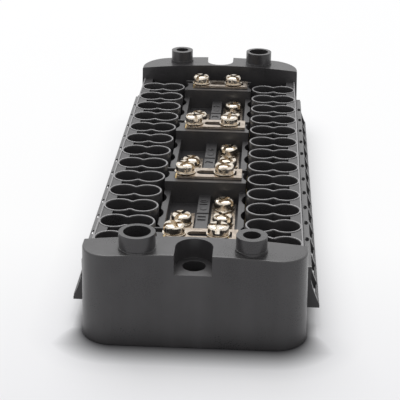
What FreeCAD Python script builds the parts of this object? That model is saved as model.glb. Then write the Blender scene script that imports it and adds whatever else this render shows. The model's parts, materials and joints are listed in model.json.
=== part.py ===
import FreeCAD, Part
import math
import os
import re

import Sketcher

# Twenty-six pole terminal block with link plates.
# Frame: X across the block, Y along it, Z up. The origin is under the middle of the block.

LEFT, RIGHT = -1, 1
SIDE_NAMES = {LEFT: "left", RIGHT: "right"}

SIZES = {
    # Housing
    "overall_length": 243.0,
    "foot_width": 81.6,
    "block_width": 80.0,
    "end_block_depth": 16.4,
    "plan_corner_radius": 12.0,
    "crown_height": 35.8,
    "shoulder_height": 33.6,
    "edge_rounding": 0.6,
    "deck_height": 7.5,
    "base_width": 77.2,
    "underside_recess": 4.5,
    "moulded_wall": 3.0,
    "underside_cells": 6.0,
    # Cover posts on the end blocks
    "post_spacing": 40.0,
    "post_inset": 7.7,
    "post_top": 41.3,
    "post_root": 30.0,
    "large_post_diameter": 13.0,
    "large_post_bore": 9.7,
    "small_post_diameter": 11.0,
    "small_post_bore": 6.3,
    "post_collar_width": 0.3,
    "post_collar_top": 36.4,
    "post_bore_depth": 24.0,
    # Mounting holes
    "mount_inset": 8.3,
    "mount_pocket_width": 13.3,
    "mount_seat_height": 28.3,
    "mount_hole_diameter": 8.3,
    # Poles
    "pole_count": 13.0,
    "pole_pitch": 15.2,
    "link_every": 4.0,
    # Chimney rails
    "rail_bottom": 15.5,
    "rail_floor": 1.5,
    "chimney_rim": 28.2,
    "lobe_radius": 6.2,
    "lobe_wall": 1.0,
    "inner_lobe": 23.2,
    "outer_lobe": 32.7,
    "waist_blend": 0.6,
    "rail_outer_face": 39.0,
    "rail_outer_wall": 1.0,
    "rail_inner_face": 18.0,
    "web_top": 27.9,
    "web_thickness": 1.0,
    "web_inner": 34.5,
    "rail_lip_width": 0.6,
    # Barriers on the sides
    "fin_thickness": 2.0,
    "fin_inner": 18.4,
    "fin_tip": 45.5,
    "fin_bottom": 6.3,
    "barrier_top": 22.8,
    "barrier_strip_inner": 39.7,
    "barrier_strip_outer": 41.4,
    "barrier_strip_depth": 1.6,
    "label_hole_width": 0.9,
    "label_hole_length": 2.2,
    # Centre carrier
    "carrier_half_width": 16.6,
    "carrier_end_gap": 0.1,
    "lobe_clearance": 1.8,
    "trough_floor": 19.5,
    "trough_wall_top": 25.0,
    "trough_half_width": 14.0,
    "rib_half_width": 2.4,
    "rib_top": 23.3,
    "step_top": 29.3,
    "step_depth": 10.8,
    "partition_thickness": 0.9,
    "pillar_clearance": 0.15,
    # Terminals
    "terminal_width": 8.0,
    "terminal_thickness": 2.0,
    "terminal_outer": 37.0,
    "pillar_length": 8.0,
    "trough_pillar_top": 20.4,
    "tapped_depth": 9.0,
    # Link plates
    "link_depth": 9.6,
    "link_thickness": 1.0,
    "link_gap": 0.3,
    "cross_link_left": -12.0,
    "cross_link_right": 14.8,
    "cross_screw_left": -8.7,
    "cross_screw_right": 7.5,
    "link_slot_width": 4.2,
    "link_travel": 9.0,
    "link_end_play": 0.3,
    "tool_hole_length": 1.7,
    "tool_hole_width": 5.0,
    "tool_hole_edge": 2.2,
    "bus_screw_place": 8.1,
    "bus_link_margin": 4.2,
    "bus_link_long_margin": 9.0,
    # Link screws and their captive washers
    "head_diameter": 8.0,
    "head_height": 2.4,
    "head_rounding": 1.1,
    "shank_diameter": 3.4,
    "shank_clearance": 0.1,
    "shank_length": 8.0,
    "slot_width": 1.1,
    "slot_depth": 1.1,
    "cross_length": 4.4,
    "cross_depth": 1.5,
    "spring_washer_diameter": 6.8,
    "spring_washer_thickness": 0.8,
    "flat_washer_diameter": 8.8,
    "flat_washer_thickness": 0.6,
    "screw_gap": 0.25,
    # Clamp screws under the chimneys
    "clamp_head_diameter": 7.0,
    "clamp_head_height": 2.6,
    "clamp_open": 2.6,
    "clamp_shank_diameter": 3.6,
    "clamp_slot_depth": 1.2,
    # How far a cut runs on past the surface it opens
    "overshoot": 1.0,
}

# Link screws stand at odd angles, each turned on from the last by this many degrees
FIRST_TURN = 20
TURN_STEP = 67

# How near an edge must lie to a place to count as being on it
EDGE_TOLERANCE = 0.05

doc = FreeCAD.newDocument("TerminalBlock")


def make_sheet():
    """Keep the driving dimensions in a sheet, one named cell each."""
    sheet = doc.addObject("Spreadsheet::Sheet", "Sizes")
    for row, (name, value) in enumerate(SIZES.items(), start=1):
        sheet.set(f"A{row}", name)
        sheet.set(f"B{row}", str(value))
        sheet.setAlias(f"B{row}", name)
    doc.recompute()
    return sheet


sheet = make_sheet()
WORD = re.compile(r"[a-z_]+")


def bound(expression):
    """Point each size name in an expression at the sheet."""
    return WORD.sub(lambda word: "Sizes." + word[0] if word[0] in SIZES else word[0], expression)


def size(expression):
    """Work out an expression of size names, in millimetres."""
    return float(sheet.evalExpression(expression))


def new_body(label):
    body = doc.addObject("PartDesign::Body", label)
    body.Label = label
    return body


def origin_feature(body, role):
    return next(feature for feature in body.Origin.OriginFeatures if feature.Role == role)


def new_sketch(body, name, role, offset=None):
    """Start a sketch on one of the body's own origin planes, lifted by an offset."""
    sketch = body.newObject("Sketcher::SketchObject", name)
    sketch.AttachmentSupport = [(origin_feature(body, role), "")]
    sketch.MapMode = "FlatFace"
    if offset:
        sketch.setExpression("AttachmentOffset.Base.z", bound(offset))
    return sketch


def place(sketch, geometry, point, across, up):
    """Hold one point of the geometry at a place given by two expressions."""
    for kind, expression in (("DistanceX", across), ("DistanceY", up)):
        distance = Sketcher.Constraint(kind, -1, 1, geometry, point, size(expression))
        index = sketch.addConstraint(distance)
        sketch.setExpression(f"Constraints[{index}]", bound(expression))


def add_polygon(sketch, corners):
    """Draw a closed outline whose corners are pairs of expressions."""
    points = [FreeCAD.Vector(size(across), size(up), 0) for across, up in corners]
    lines = [
        sketch.addGeometry(Part.LineSegment(start, end), False)
        for start, end in zip(points, points[1:] + points[:1])
    ]
    for line, following in zip(lines, lines[1:] + lines[:1]):
        sketch.addConstraint(Sketcher.Constraint("Coincident", line, 2, following, 1))
    for line, (across, up) in zip(lines, corners):
        place(sketch, line, 1, across, up)


def add_rectangle(sketch, left, bottom, right, top):
    add_polygon(sketch, [(left, bottom), (right, bottom), (right, top), (left, top)])


def add_circle(sketch, across, up, radius):
    centre = FreeCAD.Vector(size(across), size(up), 0)
    circle = sketch.addGeometry(Part.Circle(centre, FreeCAD.Vector(0, 0, 1), size(radius)), False)
    place(sketch, circle, 3, across, up)
    index = sketch.addConstraint(Sketcher.Constraint("Radius", circle, size(radius)))
    sketch.setExpression(f"Constraints[{index}]", bound(radius))


def add_notch(sketch, across, mouth, centre, radius, along_x=False):
    """Draw a slot with one round end: straight from its mouth to the centre of its round end."""
    reach, line_end, half = size(mouth), size(centre), size(radius)
    heading = math.copysign(1.0, line_end - reach)
    middle = size(across)

    def point(along, aside):
        return FreeCAD.Vector(along, aside, 0) if along_x else FreeCAD.Vector(aside, along, 0)

    low_mouth, low_end = point(reach, middle - half), point(line_end, middle - half)
    high_mouth, high_end = point(reach, middle + half), point(line_end, middle + half)
    lower = sketch.addGeometry(Part.LineSegment(low_mouth, low_end), False)
    arc = Part.Arc(low_end, point(line_end + heading * half, middle), high_end)
    bend = sketch.addGeometry(arc, False)
    upper = sketch.addGeometry(Part.LineSegment(high_end, high_mouth), False)
    closing = sketch.addGeometry(Part.LineSegment(high_mouth, low_mouth), False)
    bend_start = 1 if near(sketch, bend, 1, low_end) else 2
    sketch.addConstraint(Sketcher.Constraint("Tangent", lower, 2, bend, bend_start))
    sketch.addConstraint(Sketcher.Constraint("Tangent", bend, 3 - bend_start, upper, 1))
    sketch.addConstraint(Sketcher.Constraint("Coincident", upper, 2, closing, 1))
    sketch.addConstraint(Sketcher.Constraint("Coincident", closing, 2, lower, 1))
    straight, square = ("Horizontal", "Vertical") if along_x else ("Vertical", "Horizontal")
    sketch.addConstraint(Sketcher.Constraint(straight, lower))
    sketch.addConstraint(Sketcher.Constraint(straight, upper))
    sketch.addConstraint(Sketcher.Constraint(square, closing))
    first, second = (centre, across) if along_x else (across, centre)
    place(sketch, bend, 3, first, second)
    index = sketch.addConstraint(Sketcher.Constraint("Radius", bend, half))
    sketch.setExpression(f"Constraints[{index}]", bound(radius))
    kind = "DistanceX" if along_x else "DistanceY"
    index = sketch.addConstraint(Sketcher.Constraint(kind, -1, 1, closing, 1, reach))
    sketch.setExpression(f"Constraints[{index}]", bound(mouth))


def near(sketch, geometry, point, target):
    return sketch.getPoint(geometry, point).distanceToPoint(target) < 1e-6


def pad(body, sketch, length, symmetric=False, taper=None):
    feature = body.newObject("PartDesign::Pad", sketch.Name + "_pad")
    feature.Profile = sketch
    feature.setExpression("Length", bound(length))
    feature.SideType = "Symmetric" if symmetric else "One side"
    if taper:
        feature.setExpression("TaperAngle", bound(taper))
    return feature


def pocket(body, sketch, length, upward=False, symmetric=False):
    """Cut the sketch out of the body, down from its plane unless it goes upward."""
    feature = body.newObject("PartDesign::Pocket", sketch.Name + "_cut")
    feature.Profile = sketch
    feature.setExpression("Length", bound(length))
    feature.SideType = "Symmetric" if symmetric else "One side"
    feature.Reversed = upward
    return feature


def repeat(body, features, count, spacing, role="Y_Axis"):
    """Repeat features along one of the body's axes."""
    pattern = body.newObject("PartDesign::LinearPattern", features[0].Name + "_row")
    pattern.Originals = features
    pattern.Direction = (origin_feature(body, role), [""])
    pattern.Mode = "Spacing"
    pattern.setExpression("Offset", bound(spacing))
    pattern.setExpression("Occurrences", bound(count))
    body.Tip = pattern
    return pattern


def turn_about(body, features):
    """Repeat the features of one end at the other end, turned half a turn about Z."""
    pattern = body.newObject("PartDesign::PolarPattern", features[0].Name + "_pair")
    pattern.Originals = features
    pattern.Axis = (origin_feature(body, "Z_Axis"), [""])
    pattern.Angle = 360
    pattern.Occurrences = 2
    body.Tip = pattern
    return pattern


def round_edges(body, base, radius, picks):
    """Round those edges of a feature for which picks is true."""
    doc.recompute()
    names = [f"Edge{number}" for number, edge in enumerate(base.Shape.Edges, start=1) if picks(edge)]
    feature = body.newObject("PartDesign::Fillet", base.Name + "_round")
    feature.Base = (base, names)
    feature.setExpression("Radius", bound(radius))
    body.Tip = feature
    return feature


CHANNEL_END = "(overall_length/2 - end_block_depth)"
FIRST_POLE = "(-(pole_count - 1)/2*pole_pitch)"
LINK_PITCH = "link_every*pole_pitch"
LINK_COUNT = "(floor((pole_count - 1)/link_every) + 1)"


def make_housing():
    """Deck and end blocks in one moulding, with cover posts and mounting holes."""
    body = new_body("housing")
    outline = new_sketch(body, "outline", "XY_Plane")
    add_rectangle(outline, "-foot_width/2", "-overall_length/2", "foot_width/2", "overall_length/2")
    block = pad(body, outline, "crown_height", taper="-atan((foot_width - block_width)/2/crown_height)")

    least_upright = size("crown_height") / 2
    round_edges(body, block, "plan_corner_radius", lambda edge: edge.BoundBox.ZLength > least_upright)
    crown_cut = cut_crown(body)
    rim_height = size("shoulder_height") - size("edge_rounding")
    round_edges(body, crown_cut, "edge_rounding", lambda edge: edge.BoundBox.ZMin > rim_height)

    channel = new_sketch(body, "channel", "YZ_Plane")
    add_rectangle(channel, "-" + CHANNEL_END, "deck_height", CHANNEL_END, "crown_height + overshoot")
    pocket(body, channel, "foot_width + 2*overshoot", symmetric=True)

    reliefs = new_sketch(body, "reliefs", "XY_Plane")
    for side in (LEFT, RIGHT):
        add_rectangle(
            reliefs,
            f"{side}*base_width/2",
            "-" + CHANNEL_END,
            f"{side}*(foot_width/2 + overshoot)",
            CHANNEL_END,
        )
    pocket(body, reliefs, "crown_height", upward=True)

    end_features = make_posts(body) + make_mounting_hole(body) + core_end_block(body)
    turn_about(body, end_features)
    core_deck(body)
    return body


def cut_crown(body):
    """Crown the top: a shallow arc from shoulder to shoulder."""
    crown = new_sketch(body, "crown", "XZ_Plane")
    rise = "(crown_height - shoulder_height)"
    radius = f"((block_width^2/4 + {rise}^2)/(2*{rise}))"
    clear_side, clear_top = "foot_width/2 + 2*overshoot", "crown_height + 2*overshoot"
    side, top = size(clear_side), size(clear_top)
    radius_now = size(radius)
    centre_height = size("crown_height") - radius_now
    drop = centre_height + math.sqrt(radius_now**2 - side**2)
    left, right = FreeCAD.Vector(-side, drop, 0), FreeCAD.Vector(side, drop, 0)
    arc = crown.addGeometry(Part.Arc(left, FreeCAD.Vector(0, size("crown_height"), 0), right), False)
    high_left, high_right = FreeCAD.Vector(-side, top, 0), FreeCAD.Vector(side, top, 0)
    at_left = 1 if near(crown, arc, 1, left) else 2
    up_right = crown.addGeometry(Part.LineSegment(right, high_right), False)
    across = crown.addGeometry(Part.LineSegment(high_right, high_left), False)
    down_left = crown.addGeometry(Part.LineSegment(high_left, left), False)
    crown.addConstraint(Sketcher.Constraint("Coincident", arc, 3 - at_left, up_right, 1))
    crown.addConstraint(Sketcher.Constraint("Coincident", up_right, 2, across, 1))
    crown.addConstraint(Sketcher.Constraint("Coincident", across, 2, down_left, 1))
    crown.addConstraint(Sketcher.Constraint("Coincident", down_left, 2, arc, at_left))
    crown.addConstraint(Sketcher.Constraint("Vertical", up_right))
    crown.addConstraint(Sketcher.Constraint("Vertical", down_left))
    place(crown, arc, 3, "0", f"crown_height - {radius}")
    index = crown.addConstraint(Sketcher.Constraint("Radius", arc, radius_now))
    crown.setExpression(f"Constraints[{index}]", bound(radius))
    place(crown, across, 1, clear_side, clear_top)
    place(crown, down_left, 1, f"-({clear_side})", clear_top)
    return pocket(body, crown, "overall_length + 2*overshoot", symmetric=True)


def make_posts(body):
    """A large and a small hollow post at the near end, each with a flat seat at its foot.

    The small post's seat is a collar above the crown, and the large post's lies level with its top.
    """
    features = []
    for name, side, seat_top in (("large", LEFT, "crown_height"), ("small", RIGHT, "post_collar_top")):
        across, along = f"{side}*post_spacing/2", "-(overall_length/2 - post_inset)"
        post = new_sketch(body, f"{name}_post", "XY_Plane", "post_root")
        add_circle(post, across, along, f"{name}_post_diameter/2")
        features.append(pad(body, post, "post_top - post_root"))
        seat = new_sketch(body, f"{name}_post_seat", "XY_Plane", "post_root")
        add_circle(seat, across, along, f"{name}_post_diameter/2 + post_collar_width")
        features.append(pad(body, seat, f"{seat_top} - post_root"))
        bore = new_sketch(body, f"{name}_bore", "XY_Plane", "post_top")
        add_circle(bore, across, along, f"{name}_post_bore/2")
        features.append(pocket(body, bore, "post_bore_depth"))
    return features


def make_mounting_hole(body):
    """A screw pocket open to the end face, with a hole through its seat."""
    seat = new_sketch(body, "screw_pocket", "XY_Plane", "mount_seat_height")
    centre = "-(overall_length/2 - mount_inset)"
    add_notch(seat, "0", "-(overall_length/2 + overshoot)", centre, "mount_pocket_width/2")
    hole = new_sketch(body, "mounting_hole", "XY_Plane")
    add_circle(hole, "0", centre, "mount_hole_diameter/2")
    return [
        pocket(body, seat, "crown_height", upward=True),
        pocket(body, hole, "crown_height", upward=True),
    ]


def core_end_block(body):
    """Hollow the outer parts of the end block from below, as a moulding is cored."""
    core = new_sketch(body, "end_core", "XY_Plane")
    inner = "(post_spacing/2 + large_post_diameter/2)"
    outer = "(block_width/2 - moulded_wall)"
    end = "(overall_length/2 - moulded_wall)"
    channel_side = f"-({CHANNEL_END} + moulded_wall)"
    corner_cut = "(plan_corner_radius - moulded_wall)*(2 - sqrt(2))"
    for side in (LEFT, RIGHT):
        add_polygon(core, [
            (f"{side}*{inner}", f"-{end}"),
            (f"{side}*({outer} - {corner_cut})", f"-{end}"),
            (f"{side}*{outer}", f"-({end} - {corner_cut})"),
            (f"{side}*{outer}", channel_side),
            (f"{side}*{inner}", channel_side),
        ])
    return [pocket(body, core, "shoulder_height - moulded_wall*2", upward=True)]


def core_deck(body):
    """A double row of recesses between ribs on the underside of the deck."""
    cell = f"(2*{CHANNEL_END} - moulded_wall)/underside_cells"
    recess = new_sketch(body, "deck_recess", "XY_Plane")
    for side in (LEFT, RIGHT):
        add_rectangle(
            recess,
            f"{side}*moulded_wall/2",
            f"-{CHANNEL_END} + moulded_wall",
            f"{side}*(base_width/2 - moulded_wall)",
            f"-{CHANNEL_END} + {cell}",
        )
    first = pocket(body, recess, "underside_recess", upward=True)
    repeat(body, [first], "underside_cells", cell)


def make_barrier(side):
    """Side barrier: upright fins between the poles, tied by a strip along their tops."""
    body = new_body(f"side_barrier_{SIDE_NAMES[side]}")
    first = f"-({FIRST_POLE} - pole_pitch/2)"
    fin = new_sketch(body, "fin", "XZ_Plane", first)
    add_polygon(fin, [
        (f"{side}*fin_inner", "deck_height"),
        (f"{side}*base_width/2", "deck_height"),
        (f"{side}*base_width/2", "fin_bottom"),
        (f"{side}*fin_tip", "fin_bottom"),
        (f"{side}*barrier_strip_outer", "barrier_top"),
        (f"{side}*barrier_strip_inner", "barrier_top"),
        (f"{side}*barrier_strip_inner", "rail_bottom"),
        (f"{side}*fin_inner", "rail_bottom"),
    ])
    one_fin = pad(body, fin, "fin_thickness", symmetric=True)
    repeat(body, [one_fin], "pole_count + 1", "pole_pitch")

    strip = new_sketch(body, "strip", "XZ_Plane")
    slope = "(fin_tip - barrier_strip_outer)/(barrier_top - fin_bottom)*barrier_strip_depth"
    add_polygon(strip, [
        (f"{side}*barrier_strip_inner", "barrier_top - barrier_strip_depth"),
        (f"{side}*(barrier_strip_outer + {slope})", "barrier_top - barrier_strip_depth"),
        (f"{side}*barrier_strip_outer", "barrier_top"),
        (f"{side}*barrier_strip_inner", "barrier_top"),
    ])
    pad(body, strip, "pole_count*pole_pitch + fin_thickness", symmetric=True)

    hole = new_sketch(body, "label_hole", "XY_Plane", "barrier_top")
    middle = f"{side}*(barrier_strip_inner + barrier_strip_outer)/2"
    add_rectangle(
        hole,
        f"{middle} - label_hole_width/2",
        f"{FIRST_POLE} - pole_pitch/2 - label_hole_length/2 + pole_pitch",
        f"{middle} + label_hole_width/2",
        f"{FIRST_POLE} - pole_pitch/2 + label_hole_length/2 + pole_pitch",
    )
    first_hole = pocket(body, hole, "barrier_strip_depth*2")
    repeat(body, [first_hole], "pole_count - 1", "pole_pitch")
    return body


def make_rail(side):
    """Chimney rail: a row of figure-eight chimneys on one floor, with an outer wall."""
    body = new_body(f"chimney_rail_{SIDE_NAMES[side]}")
    floor = new_sketch(body, "floor", "XY_Plane", "rail_bottom")
    reach = f"({CHANNEL_END} - carrier_end_gap)"
    add_rectangle(floor, f"{side}*rail_inner_face", f"-{reach}", f"{side}*rail_outer_face", reach)
    pad(body, floor, "rail_floor")

    wall = new_sketch(body, "wall", "XZ_Plane")
    add_polygon(wall, [
        (f"{side}*(rail_outer_face - rail_outer_wall)", "rail_bottom"),
        (f"{side}*rail_outer_face", "rail_bottom"),
        (f"{side}*rail_outer_face", "chimney_rim"),
        (f"{side}*(rail_outer_face - rail_lip_width)", "chimney_rim"),
        (f"{side}*(rail_outer_face - rail_lip_width)", "web_top"),
        (f"{side}*web_inner", "web_top"),
        (f"{side}*web_inner", "web_top - web_thickness"),
        (f"{side}*(rail_outer_face - rail_outer_wall)", "web_top - web_thickness"),
    ])
    pad(body, wall, f"2*{reach}", symmetric=True)

    lobes = []
    for name in ("inner_lobe", "outer_lobe"):
        lobe = new_sketch(body, name, "XY_Plane", "rail_bottom")
        add_circle(lobe, f"{side}*{name}", FIRST_POLE, "lobe_radius")
        lobes.append(pad(body, lobe, "chimney_rim - rail_bottom"))
    tubes = repeat(body, lobes, "pole_count", "pole_pitch")
    round_edges(body, tubes, "waist_blend", lambda edge: is_waist(edge, side))

    bores = []
    for name in ("inner_lobe", "outer_lobe"):
        bore = new_sketch(body, name + "_bore", "XY_Plane", "chimney_rim")
        add_circle(bore, f"{side}*{name}", FIRST_POLE, "lobe_radius - lobe_wall")
        bores.append(pocket(body, bore, "chimney_rim - rail_bottom + overshoot"))
    hollow = repeat(body, bores, "pole_count", "pole_pitch")
    round_edges(body, hollow, "waist_blend + lobe_wall", lambda edge: is_waist(edge, side))
    return body


def is_waist(edge, side):
    """True for the upright creases where the two lobes of a chimney meet."""
    middle = side * size("(inner_lobe + outer_lobe)/2")
    box = edge.BoundBox
    upright = box.ZLength > size("(chimney_rim - rail_bottom)/2")
    return upright and abs(box.Center.x - middle) < EDGE_TOLERANCE


def make_carrier():
    """Centre carrier: three link troughs between four raised steps, with numbered ribs."""
    body = new_body("centre_carrier")
    reach = f"({CHANNEL_END} - carrier_end_gap)"
    slab = new_sketch(body, "slab", "XY_Plane", "deck_height")
    add_rectangle(slab, "-carrier_half_width", f"-{reach}", "carrier_half_width", reach)
    pad(body, slab, "trough_floor - deck_height")

    walls = new_sketch(body, "walls", "XY_Plane", "trough_floor")
    for side in (LEFT, RIGHT):
        add_rectangle(
            walls, f"{side}*trough_half_width", f"-{reach}", f"{side}*carrier_half_width", reach
        )
    pad(body, walls, "trough_wall_top - trough_floor")

    rib = new_sketch(body, "rib", "XY_Plane", "trough_floor")
    add_rectangle(rib, "-rib_half_width", f"-{reach}", "rib_half_width", reach)
    pad(body, rib, "rib_top - trough_floor")

    front = f"({FIRST_POLE} - pole_pitch/2)"
    step = new_sketch(body, "step", "XY_Plane", "trough_floor")
    add_rectangle(step, "-carrier_half_width", front, "carrier_half_width", f"{front} + step_depth")
    one_step = pad(body, step, "step_top - trough_floor")
    partition = new_sketch(body, "partition", "XY_Plane", "trough_floor")
    back = f"({FIRST_POLE} + pole_pitch/2)"
    add_rectangle(
        partition, "-carrier_half_width", f"{back} - partition_thickness", "carrier_half_width", back
    )
    one_partition = pad(body, partition, "step_top - trough_floor")
    repeat(body, [one_step, one_partition], LINK_COUNT, LINK_PITCH)

    scallops = new_sketch(body, "scallops", "XY_Plane", "deck_height")
    for side in (LEFT, RIGHT):
        add_circle(scallops, f"{side}*inner_lobe", FIRST_POLE, "lobe_radius + lobe_clearance")
    one_scallop = pocket(body, scallops, "step_top", upward=True)
    repeat(body, [one_scallop], "pole_count", "pole_pitch")
    cut_pillar_wells(body)
    return body


def pillar_places():
    """Where each pole's pillar stands: (side, pole, place expression, top expression, has a screw)."""
    step_every = int(size("link_every"))
    for side in (LEFT, RIGHT):
        for pole in range(int(size("pole_count"))):
            name = SIDE_NAMES[side]
            if pole % step_every == 0:
                yield side, pole, f"cross_screw_{name}", "step_top"
            else:
                yield side, pole, f"{side}*bus_screw_place", "trough_pillar_top"


def is_blank(side, pole):
    """The last pole of each trough on the left has no pillar: its link screw place is blank."""
    step_every = int(size("link_every"))
    return side == LEFT and pole % step_every == step_every - 1


def cut_pillar_wells(body):
    """Square wells for the terminal pillars, and the ways for their feet under the carrier."""
    half = "(terminal_width/2 + pillar_clearance)"
    wells = new_sketch(body, "wells", "XY_Plane", "deck_height")
    feet = new_sketch(body, "feet", "XY_Plane", "deck_height")
    for side, pole, place_now, _top in pillar_places():
        along = f"({FIRST_POLE} + {pole}*pole_pitch)"
        inner = f"({place_now} - {side}*(pillar_length/2 + pillar_clearance))"
        outer = f"({place_now} + {side}*(pillar_length/2 + pillar_clearance))"
        add_rectangle(
            feet, inner, f"{along} - {half}", f"{side}*(carrier_half_width + overshoot)", f"{along} + {half}"
        )
        if not is_blank(side, pole):
            add_rectangle(wells, inner, f"{along} - {half}", outer, f"{along} + {half}")
    pocket(body, feet, "terminal_thickness + pillar_clearance", upward=True)
    pocket(body, wells, "step_top", upward=True)


def make_terminal(side, pole, place_now, top):
    """One pole's conductor: a flat bar under the chimney, with a pillar up to its link plate."""
    body = new_body(f"terminal_{SIDE_NAMES[side]}_{pole + 1:02d}")
    profile = new_sketch(body, "profile", "XZ_Plane")
    inner = f"({place_now} - {side}*pillar_length/2)"
    outer = f"({place_now} + {side}*pillar_length/2)"
    bar_top = "deck_height + terminal_thickness"
    corners = [
        (inner, "deck_height"),
        (f"{side}*terminal_outer", "deck_height"),
        (f"{side}*terminal_outer", bar_top),
    ]
    if is_blank(side, pole):
        corners += [(inner, bar_top)]
    else:
        corners += [(outer, bar_top), (outer, top), (inner, top)]
    add_polygon(profile, corners)
    pad(body, profile, "terminal_width", symmetric=True)

    clamp_holes = new_sketch(body, "clamp_holes", "XY_Plane", "deck_height")
    for lobe in ("inner_lobe", "outer_lobe"):
        add_circle(clamp_holes, f"{side}*{lobe}", "0", "clamp_shank_diameter/2 + shank_clearance")
    pocket(body, clamp_holes, "terminal_thickness + overshoot", upward=True)
    if not is_blank(side, pole):
        tapped = new_sketch(body, "tapped_hole", "XY_Plane", top)
        add_circle(tapped, place_now, "0", "shank_diameter/2 + shank_clearance")
        pocket(body, tapped, "tapped_depth")
    body.setExpression("Placement.Base.y", bound(f"{FIRST_POLE} + {pole}*pole_pitch"))
    return body


def make_cross_link(number):
    """Sliding link across a step: an open fork at its left screw and a long slot at its right."""
    body = new_body(f"cross_link_{number + 1}")
    bottom = "step_top + link_gap"
    plate = new_sketch(body, "plate", "XY_Plane", bottom)
    add_rectangle(plate, "cross_link_left", "-link_depth/2", "cross_link_right", "link_depth/2")
    pad(body, plate, "link_thickness")
    fork = new_sketch(body, "fork", "XY_Plane", bottom)
    add_notch(fork, "0", "cross_link_left - overshoot", "cross_screw_left", "link_slot_width/2", along_x=True)
    pocket(body, fork, "link_thickness", upward=True)
    slot = new_sketch(body, "slot", "XY_Plane", bottom)
    slot_reach = "cross_screw_right - link_travel - link_end_play"
    add_notch(slot, "0", "cross_screw_right", slot_reach, "link_slot_width/2", along_x=True)
    pocket(body, slot, "link_thickness", upward=True)
    slot_end = new_sketch(body, "slot_end", "XY_Plane", bottom)
    add_circle(slot_end, "cross_screw_right", "0", "link_slot_width/2")
    pocket(body, slot_end, "link_thickness", upward=True)
    tool_hole = new_sketch(body, "tool_hole", "XY_Plane", bottom)
    edge = "cross_link_right - tool_hole_edge"
    add_rectangle(tool_hole, f"{edge} - tool_hole_length", "-tool_hole_width/2", edge, "tool_hole_width/2")
    pocket(body, tool_hole, "link_thickness", upward=True)
    body.setExpression("Placement.Base.y", bound(f"{FIRST_POLE} + {number}*{LINK_PITCH}"))
    return body


def make_bus_link(side, trough, pillars):
    """Fixed link in a trough, bolted to its pillars; on the left it runs on past the last one."""
    body = new_body(f"bus_link_{SIDE_NAMES[side]}_{trough + 1}")
    centre = f"{side}*bus_screw_place"
    far_margin = "bus_link_long_margin" if side == LEFT else "bus_link_margin"
    plate = new_sketch(body, "plate", "XY_Plane", "trough_pillar_top")
    add_rectangle(
        plate,
        f"{centre} - link_depth/2",
        "pole_pitch - bus_link_margin",
        f"{centre} + link_depth/2",
        f"{pillars}*pole_pitch + {far_margin}",
    )
    pad(body, plate, "link_thickness")
    hole = new_sketch(body, "hole", "XY_Plane", "trough_pillar_top")
    add_circle(hole, centre, "pole_pitch", "link_slot_width/2")
    first = pocket(body, hole, "link_thickness", upward=True)
    repeat(body, [first], str(pillars), "pole_pitch")
    body.setExpression("Placement.Base.y", bound(f"{FIRST_POLE} + {trough}*{LINK_PITCH}"))
    return body


def ring(outer, inner, bottom, thickness):
    """A flat ring about the Z axis."""
    disc = Part.makeCylinder(outer, thickness, FreeCAD.Vector(0, 0, bottom))
    return disc.cut(Part.makeCylinder(inner, thickness, FreeCAD.Vector(0, 0, bottom)))


def screw_solids(turn):
    """A pan-head screw and its two captive washers, with the flat washer's foot at height 0."""
    hole = size("shank_diameter/2 + shank_clearance")
    flat = size("flat_washer_thickness")
    spring = size("spring_washer_thickness")
    seat = flat + spring
    flat_washer = ring(size("flat_washer_diameter/2"), hole, 0, flat)
    spring_washer = ring(size("spring_washer_diameter/2"), hole, flat, spring)

    head = size("head_diameter/2")
    shank = size("shank_diameter/2")
    top = seat + size("head_height")
    rounding = size("head_rounding")
    bend = rounding * math.sqrt(0.5)
    edges = [
        Part.makeLine((0, 0, -size("shank_length")), (shank, 0, -size("shank_length"))),
        Part.makeLine((shank, 0, -size("shank_length")), (shank, 0, seat)),
        Part.makeLine((shank, 0, seat), (head, 0, seat)),
        Part.makeLine((head, 0, seat), (head, 0, top - rounding)),
        Part.Arc(
            FreeCAD.Vector(head, 0, top - rounding),
            FreeCAD.Vector(head - rounding + bend, 0, top - rounding + bend),
            FreeCAD.Vector(head - rounding, 0, top),
        ).toShape(),
        Part.makeLine((head - rounding, 0, top), (0, 0, top)),
        Part.makeLine((0, 0, top), (0, 0, -size("shank_length"))),
    ]
    screw = Part.Face(Part.Wire(edges)).revolve(FreeCAD.Vector(), FreeCAD.Vector(0, 0, 1), 360)
    width = size("slot_width")
    across = size("head_diameter + overshoot")
    slot = Part.makeBox(across, width, size("slot_depth"),
                        FreeCAD.Vector(-across / 2, -width / 2, top - size("slot_depth")))
    length = size("cross_length")
    arm = Part.makeBox(width, length, size("cross_depth"),
                       FreeCAD.Vector(-width / 2, -length / 2, top - size("cross_depth")))
    screw = screw.cut(slot.fuse(arm))
    screw.rotate(FreeCAD.Vector(), FreeCAD.Vector(0, 0, 1), turn)
    return [screw, spring_washer, flat_washer]


def moved(solids, across, along, height):
    return [solid.translated(FreeCAD.Vector(across, along, height)) for solid in solids]


def add_group(label, solids):
    """A sub-part that holds a group of separate solids, such as like fasteners."""
    group = doc.addObject("Part::Feature", label)
    group.Label = label
    group.Shape = Part.makeCompound(solids)
    return group


def screw_turn(number):
    """Screws stop at odd angles when they are tightened."""
    return (number * TURN_STEP + FIRST_TURN) % 180


def pole_place(pole):
    return size(f"{FIRST_POLE} + {pole}*pole_pitch")


def make_cross_screw(number, side):
    """A link screw of a step, just clear of its link plate."""
    name = SIDE_NAMES[side]
    height = size("step_top + link_gap + link_thickness + screw_gap")
    solids = screw_solids(screw_turn(2 * number + (side > 0)))
    along = pole_place(number * int(size("link_every")))
    placed = moved(solids, size(f"cross_screw_{name}"), along, height)
    return add_group(f"cross_link_screw_{number + 1}_{name}", placed)


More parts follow.
